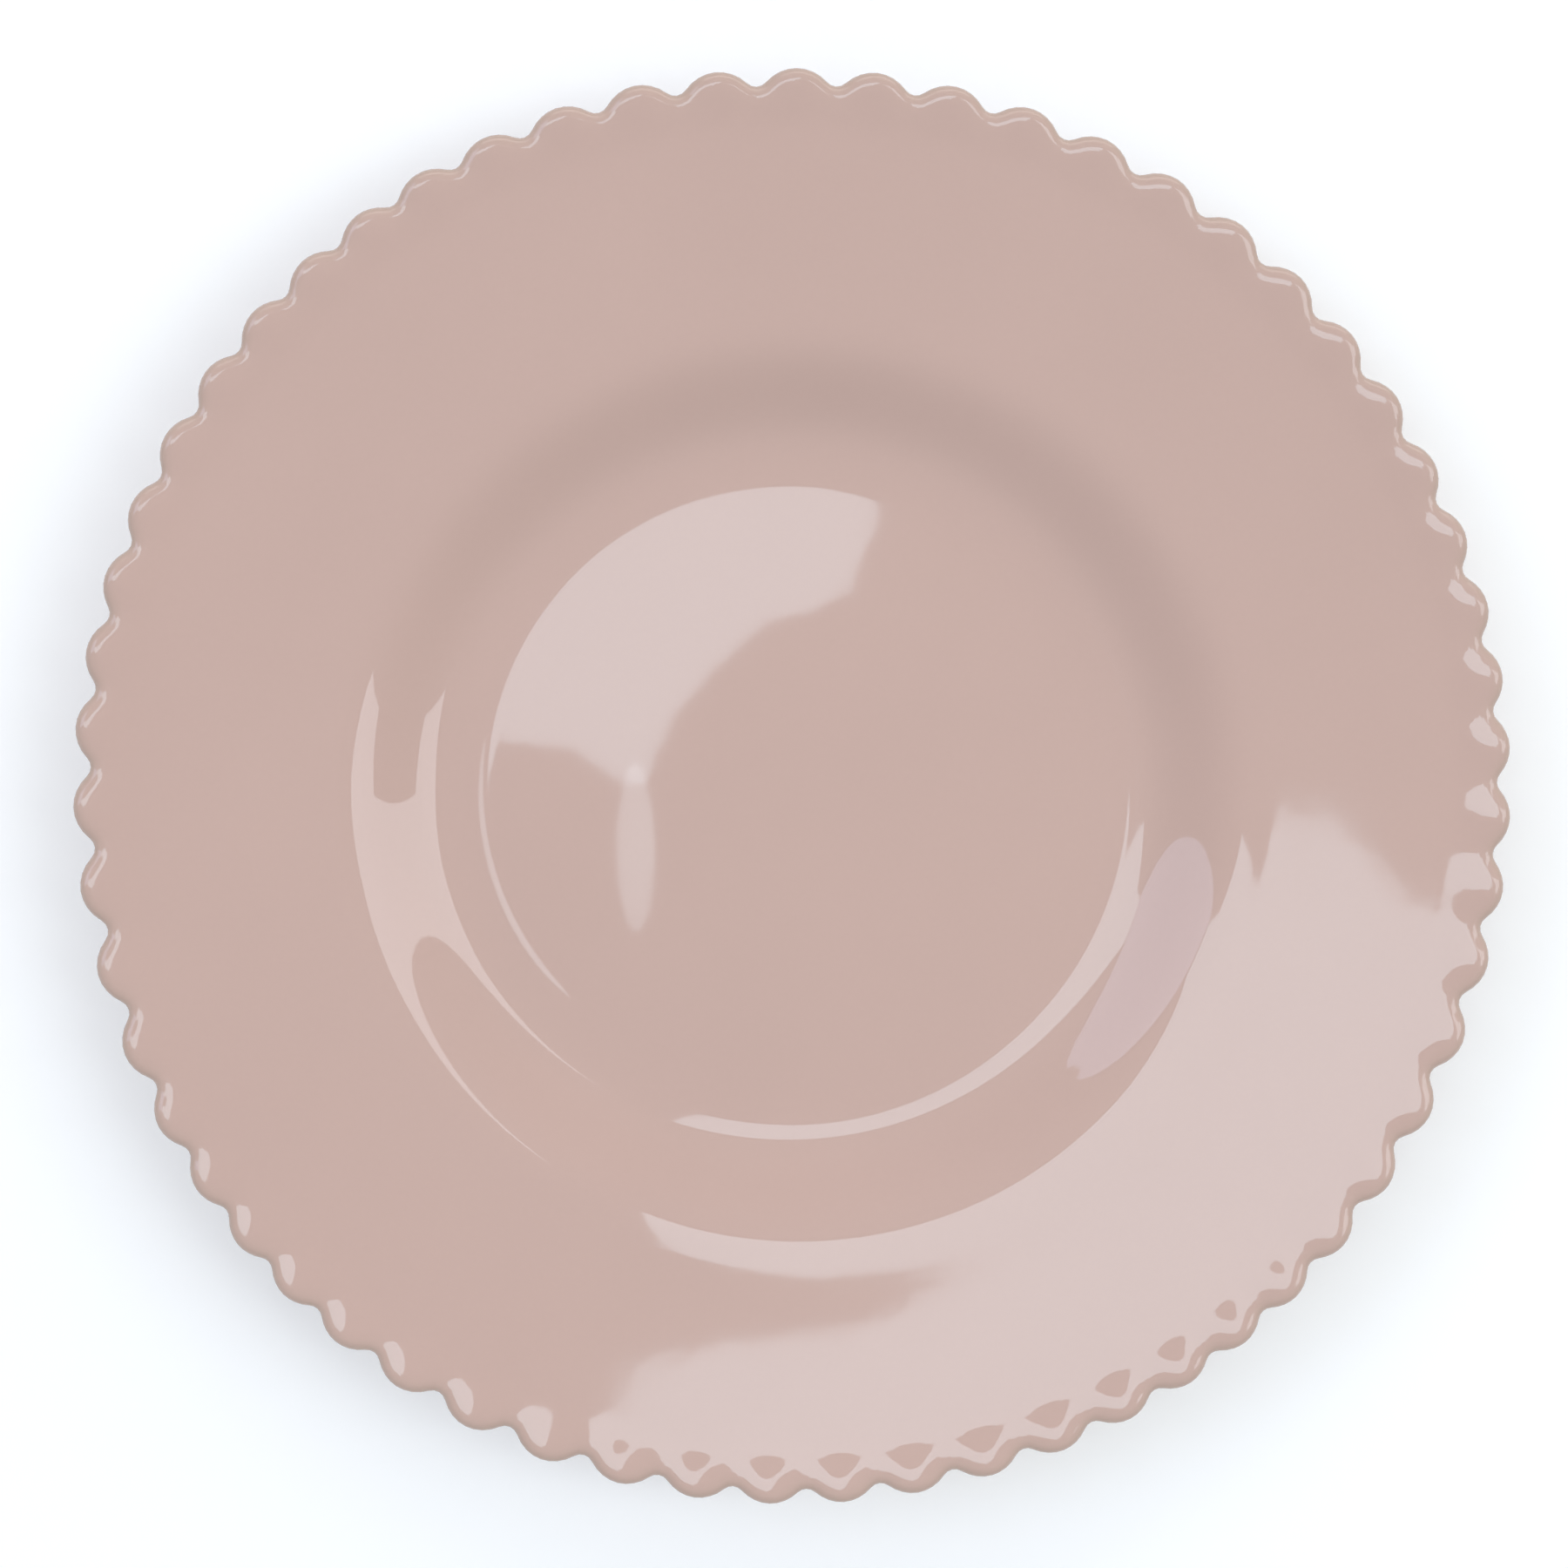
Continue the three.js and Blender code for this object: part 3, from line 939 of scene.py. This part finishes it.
def new_material(name):
    """A material with a shader and nothing else in its tree."""
    material = bpy.data.materials.new(name)
    material.use_nodes = True
    tree = material.node_tree
    tree.nodes.clear()
    shader = tree.nodes.new("ShaderNodeBsdfPrincipled")
    output = tree.nodes.new("ShaderNodeOutputMaterial")
    tree.links.new(shader.outputs["BSDF"], output.inputs["Surface"])
    return material, tree, shader


def object_coordinates(tree):
    return tree.nodes.new("ShaderNodeTexCoord").outputs["Object"]


def noise(tree, coordinates, scale, detail=2.0):
    """Fractal noise from about 0 to 1, with so many features per metre."""
    node = add_node(tree, "ShaderNodeTexNoise", {"Vector": coordinates, "Scale": scale, "Detail": detail})
    return Field(tree, node.outputs[0])


def scattered_cells(tree, coordinates, scale):
    """Distance from the middle of the nearest cell, in cells, and that cell's own chance from 0 to 1."""
    inputs = {"Vector": coordinates, "Scale": scale, "Randomness": 1.0}
    cells = add_node(tree, "ShaderNodeTexVoronoi", inputs).outputs
    chance = add_node(tree, "ShaderNodeSeparateColor", {"Color": cells["Color"]}).outputs[0]
    return Field(tree, cells["Distance"]), Field(tree, chance)


def shades(tree, factor, low, high):
    """A colour that goes from one shade to another."""
    node = add_node(tree, "ShaderNodeMix", data_type="RGBA")
    connect(tree, factor, node.inputs["Factor"])
    for place, colour in ((node.inputs[6], low), (node.inputs[7], high)):
        connect(tree, colour if isinstance(colour, bpy.types.NodeSocket) else (*colour, 1.0), place)
    return node.outputs[2]


def lighter(colour, share):
    """A colour made lighter, or darker, by a share of itself."""
    return tuple(min(1.0, part * (1 + share)) for part in colour)


def make_glaze():
    """Glossy pink glaze: faintly clouded, darker over the lip for its thin glaze and painted edge shade,
    with a soft orange peel.
    """
    look = bpy.context.scene.plate_glaze
    material, tree, shader = new_material("glossy_pink_glaze")
    coordinates = object_coordinates(tree)
    clouds = noise(tree, coordinates, GLAZE_CLOUDS, 4.0)
    grain = noise(tree, coordinates, GLAZE_GRAIN)
    mottle = (clouds * (1 - GLAZE_GRAIN_SHARE) + grain * GLAZE_GRAIN_SHARE - 0.25).between(0.0, 1.0)
    body = shades(tree, mottle, lighter(look.colour, -GLAZE_MOTTLE), lighter(look.colour, GLAZE_MOTTLE))
    # The lip's colour: the thin glaze's own darker tone, with painted shade along the edge
    thin_and_shaded = add_node(tree, "ShaderNodeAttribute", attribute_name="lip_glaze_and_shade", attribute_type="GEOMETRY")
    worn_and_shaded = Field(tree, thin_and_shaded.outputs["Fac"]) * (noise(tree, coordinates, GLAZE_WEAR_AND_SHADE) * 0.5 + 0.6)
    colour = shades(tree, worn_and_shaded.between(0.0, 1.0), body, look.lip_glaze_and_shade_colour)
    tree.links.new(colour, shader.inputs["Base Color"])
    smoothest = look.roughness - GLAZE_POLISH_RANGE / 2
    roughness = noise(tree, coordinates, GLAZE_POLISH) * GLAZE_POLISH_RANGE + smoothest
    connect(tree, roughness, shader.inputs["Roughness"])
    shader.inputs["IOR"].default_value = GLAZE_IOR

    peel = noise(tree, coordinates, GLAZE_PEEL, 1.0)
    cells, kept = scattered_cells(tree, coordinates, PIMPLE_CELLS)
    pimple = (cells / -PIMPLE_RADIUS + 1.0).between(0.0, 1.0)
    pimples = pimple * (kept * -1.0 + 1.0 < PIMPLE_SHARE)
    bump = add_node(tree, "ShaderNodeBump", {"Strength": 1.0, "Distance": GLAZE_PEEL_HEIGHT})
    connect(tree, peel + pimples * PIMPLE_HEIGHT, bump.inputs["Height"])
    tree.links.new(bump.outputs["Normal"], shader.inputs["Normal"])
    return material


def make_clay():
    """Bare fired clay: buff, dry and gritty, with iron flecks."""
    look = bpy.context.scene.plate_clay
    material, tree, shader = new_material("dry_buff_clay")
    coordinates = object_coordinates(tree)
    clouds = noise(tree, coordinates, CLAY_CLOUDS, 4.0)
    buff = shades(tree, clouds, lighter(look.colour, CLAY_DARKEST), lighter(look.colour, CLAY_PALEST))
    cells, kept = scattered_cells(tree, coordinates, FLECK_CELLS)
    fleck = (cells < FLECK_RADIUS) * (kept < FLECK_SHARE)
    colour = shades(tree, fleck * FLECK_DEPTH, buff, look.fleck_colour)
    tree.links.new(colour, shader.inputs["Base Color"])
    grit = noise(tree, coordinates, CLAY_GRIT, 3.0)
    smoothest = look.roughness - CLAY_GRIT_RANGE / 2
    connect(tree, grit * CLAY_GRIT_RANGE + smoothest, shader.inputs["Roughness"])
    scratches = noise(tree, coordinates, CLAY_SCRATCHES)
    bump = add_node(tree, "ShaderNodeBump", {"Strength": 0.7, "Distance": CLAY_GRIT_HEIGHT})
    connect(tree, grit + scratches * 0.5, bump.inputs["Height"])
    tree.links.new(bump.outputs["Normal"], shader.inputs["Normal"])
    return material


def the_glaze():
    """The glaze, made once for both of its pieces."""
    return bpy.data.materials.get("glossy_pink_glaze") or make_glaze()


class PLATE_OT_stoneware_body(bpy.types.Operator):
    """Makes the stoneware body, which shows at the bare foot ring"""

    bl_idname = "plate.stoneware_body"
    bl_label = "Stoneware body"

    def execute(self, context):
        shape = PlateShape(context.scene.plate_sizes)
        piece = make_piece("stoneware", shape.body_rows(), make_clay())
        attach(piece, "root")
        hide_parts("stoneware_body")
        return {"FINISHED"}


class PLATE_OT_glaze_coat(bpy.types.Operator):
    """Makes the glaze over the face, the scalloped lip and the back"""

    bl_idname = "plate.glaze_coat"
    bl_label = "Glaze coat"

    def execute(self, context):
        shape = PlateShape(context.scene.plate_sizes)
        piece = make_piece("glaze", shape.coat_rows(), the_glaze())
        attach(piece, "root")
        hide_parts("glaze_coat")
        return {"FINISHED"}


class PLATE_OT_base_glaze(bpy.types.Operator):
    """Makes the glaze in the base, inside the foot ring"""

    bl_idname = "plate.base_glaze"
    bl_label = "Base glaze"

    def execute(self, context):
        shape = PlateShape(context.scene.plate_sizes)
        piece = make_piece("glaze_in_base", shape.base_glaze_rows(), the_glaze())
        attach(piece, "root")
        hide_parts("base_glaze")
        return {"FINISHED"}


# Stage

def facing(place, aim, up):
    """Matrix of a camera or lamp at a place, looking at another, with a direction to keep upright."""
    back = (Vector(place) - Vector(aim)).normalized()
    side = Vector(up).cross(back).normalized()
    turned = Matrix((side, back.cross(side), back)).transposed()
    return Matrix.Translation(place) @ turned.to_4x4()


def place_camera(stage):
    """The camera, at the photograph's viewing angle."""
    aim = Vector(stage.camera_aim)
    middle = Vector((0.0, 0.0, aim.z))
    lean = math.sin(stage.camera_tilt)
    way = Vector((
        lean * math.cos(stage.camera_turn),
        lean * math.sin(stage.camera_turn),
        math.cos(stage.camera_tilt),
    ))
    place = middle + way * stage.camera_distance
    data = bpy.data.cameras.new("camera")
    data.sensor_fit = "HORIZONTAL"
    data.sensor_width = PHOTO_SENSOR
    data.lens = stage.camera_lens
    data.clip_start = 0.01
    data.clip_end = 50.0
    camera = bpy.data.objects.new("camera", data)
    camera.matrix_world = facing(place, aim, (0.0, 1.0, 0.0))
    bpy.context.scene.collection.objects.link(camera)
    bpy.context.scene.camera = camera


def hang_softbox(box):
    """A lamp with the energy that gives its radiance, whatever its size and its cone."""
    data = bpy.data.lights.new(box.name, "AREA")
    data.shape = box.shape
    data.size, data.size_y = box.size
    data.color = box.colour
    data.spread = box.spread
    area = data.size * data.size_y * (math.pi / 4 if box.shape == "ELLIPSE" else 1.0)
    half = box.spread / 2
    data.energy = box.radiance * math.pi * area * (1 - half / math.tan(half))
    lamp = bpy.data.objects.new(box.name, data)
    lamp.matrix_world = facing(box.place, box.aim, (0.0, 1.0, 0.0))
    lamp.visible_camera = False
    bpy.context.scene.collection.objects.link(lamp)


def hang_panel(panel):
    """A flat diffuser that the gloss shows and the camera doesn't."""
    mesh = bpy.data.meshes.new(panel.name)
    corners = [(x, y, panel.height) for x, y in panel.corners]
    mesh.from_pydata(corners, [], [tuple(range(len(corners)))])
    material, tree, shader = new_material(panel.name)
    shader.inputs["Base Color"].default_value = (0.8, 0.8, 0.8, 1.0)
    shader.inputs["Emission Color"].default_value = (*panel.colour, 1.0)
    shader.inputs["Emission Strength"].default_value = panel.radiance
    mesh.materials.append(material)
    hung = bpy.data.objects.new(panel.name, mesh)
    hung.visible_camera = False
    bpy.context.scene.collection.objects.link(hung)


def background_seen(tree):
    """1 for a ray that shows the background, from the camera or by way of something shiny."""
    path = tree.nodes.new("ShaderNodeLightPath").outputs
    seen = Field(tree, path["Is Camera Ray"]).apply("MAXIMUM", path["Is Glossy Ray"])
    return seen.apply("MAXIMUM", path["Is Transmission Ray"])


def make_floor(stage):
    """A wide pale floor that looks white from the camera and keeps the plate's shadow."""
    mesh = bpy.data.meshes.new("floor")
    turns = ((-1, -1), (1, -1), (1, 1), (-1, 1))
    corners = [(x * FLOOR_HALF, y * FLOOR_HALF, 0.0) for x, y in turns]
    mesh.from_pydata(corners, [], [(0, 1, 2, 3)])
    material, tree, shader = new_material("pale_floor")
    shader.inputs["Base Color"].default_value = (*stage.floor_colour, 1.0)
    shader.inputs["Roughness"].default_value = 0.9
    shader.inputs["Specular IOR Level"].default_value = 0.1
    shader.inputs["Emission Color"].default_value = (1.0, 1.0, 1.0, 1.0)
    connect(tree, background_seen(tree) * FLOOR_GLOW, shader.inputs["Emission Strength"])
    mesh.materials.append(material)
    floor = bpy.data.objects.new("floor", mesh)
    bpy.context.scene.collection.objects.link(floor)


def light_sky(stage):
    """Soft light all round, white where it shows."""
    world = bpy.data.worlds.new("studio")
    world.use_nodes = True
    tree = world.node_tree
    tree.nodes.clear()
    way = tree.nodes.new("ShaderNodeTexCoord").outputs["Generated"]
    brighter = (math.cos(stage.sky_turn), math.sin(stage.sky_turn), 0.0)
    towards = add_node(tree, "ShaderNodeVectorMath", operation="DOT_PRODUCT")
    connect(tree, way, towards.inputs[0])
    connect(tree, brighter, towards.inputs[1])
    light = Field(tree, towards.outputs["Value"]) * stage.sky_lean + stage.sky_strength
    sky = add_node(tree, "ShaderNodeBackground", {"Color": (1.0, 1.0, 1.0, 1.0)})
    connect(tree, background_seen(tree).choose(1.0, light), sky.inputs["Strength"])
    output = tree.nodes.new("ShaderNodeOutputWorld")
    tree.links.new(sky.outputs["Background"], output.inputs["Surface"])
    bpy.context.scene.world = world


class PLATE_OT_stage(bpy.types.Operator):
    """Sets the camera, the floor and the soft light"""

    bl_idname = "plate.stage"
    bl_label = "Stage"

    def execute(self, context):
        stage = context.scene.plate_stage
        place_camera(stage)
        make_floor(stage)
        light_sky(stage)
        for box in SOFTBOXES:
            hang_softbox(box)
        for panel in PANELS:
            hang_panel(panel)
        context.scene.view_settings.view_transform = "Standard"
        return {"FINISHED"}


class PLATE_PT_panel(bpy.types.Panel):
    """Sizes, looks and pieces of the plate"""

    bl_idname = "PLATE_PT_panel"
    bl_label = "Scalloped plate"
    bl_space_type = "VIEW_3D"
    bl_region_type = "UI"
    bl_category = "Plate"

    def draw(self, context):
        for group_name in GROUPS:
            group = getattr(context.scene, group_name)
            box = self.layout.box()
            for name in group.__annotations__:
                box.prop(group, name)
        for operator in OPERATORS:
            self.layout.operator(operator.bl_idname)


GROUPS = {
    "plate_sizes": PlateSizes,
    "plate_glaze": GlazeLook,
    "plate_clay": ClayLook,
    "plate_stage": StageLook,
}
OPERATORS = (PLATE_OT_stoneware_body, PLATE_OT_glaze_coat, PLATE_OT_base_glaze, PLATE_OT_stage)
CLASSES = (*GROUPS.values(), *OPERATORS, PLATE_PT_panel)


def register():
    for kind in CLASSES:
        bpy.utils.register_class(kind)
    for name, group in GROUPS.items():
        setattr(bpy.types.Scene, name, PointerProperty(type=group))


def unregister():
    for name in GROUPS:
        delattr(bpy.types.Scene, name)
    for kind in reversed(CLASSES):
        bpy.utils.unregister_class(kind)


def main():
    register()
    bpy.ops.plate.stoneware_body()
    bpy.ops.plate.glaze_coat()
    bpy.ops.plate.base_glaze()
    bpy.ops.plate.stage()


if __name__ == "__main__":
    main()
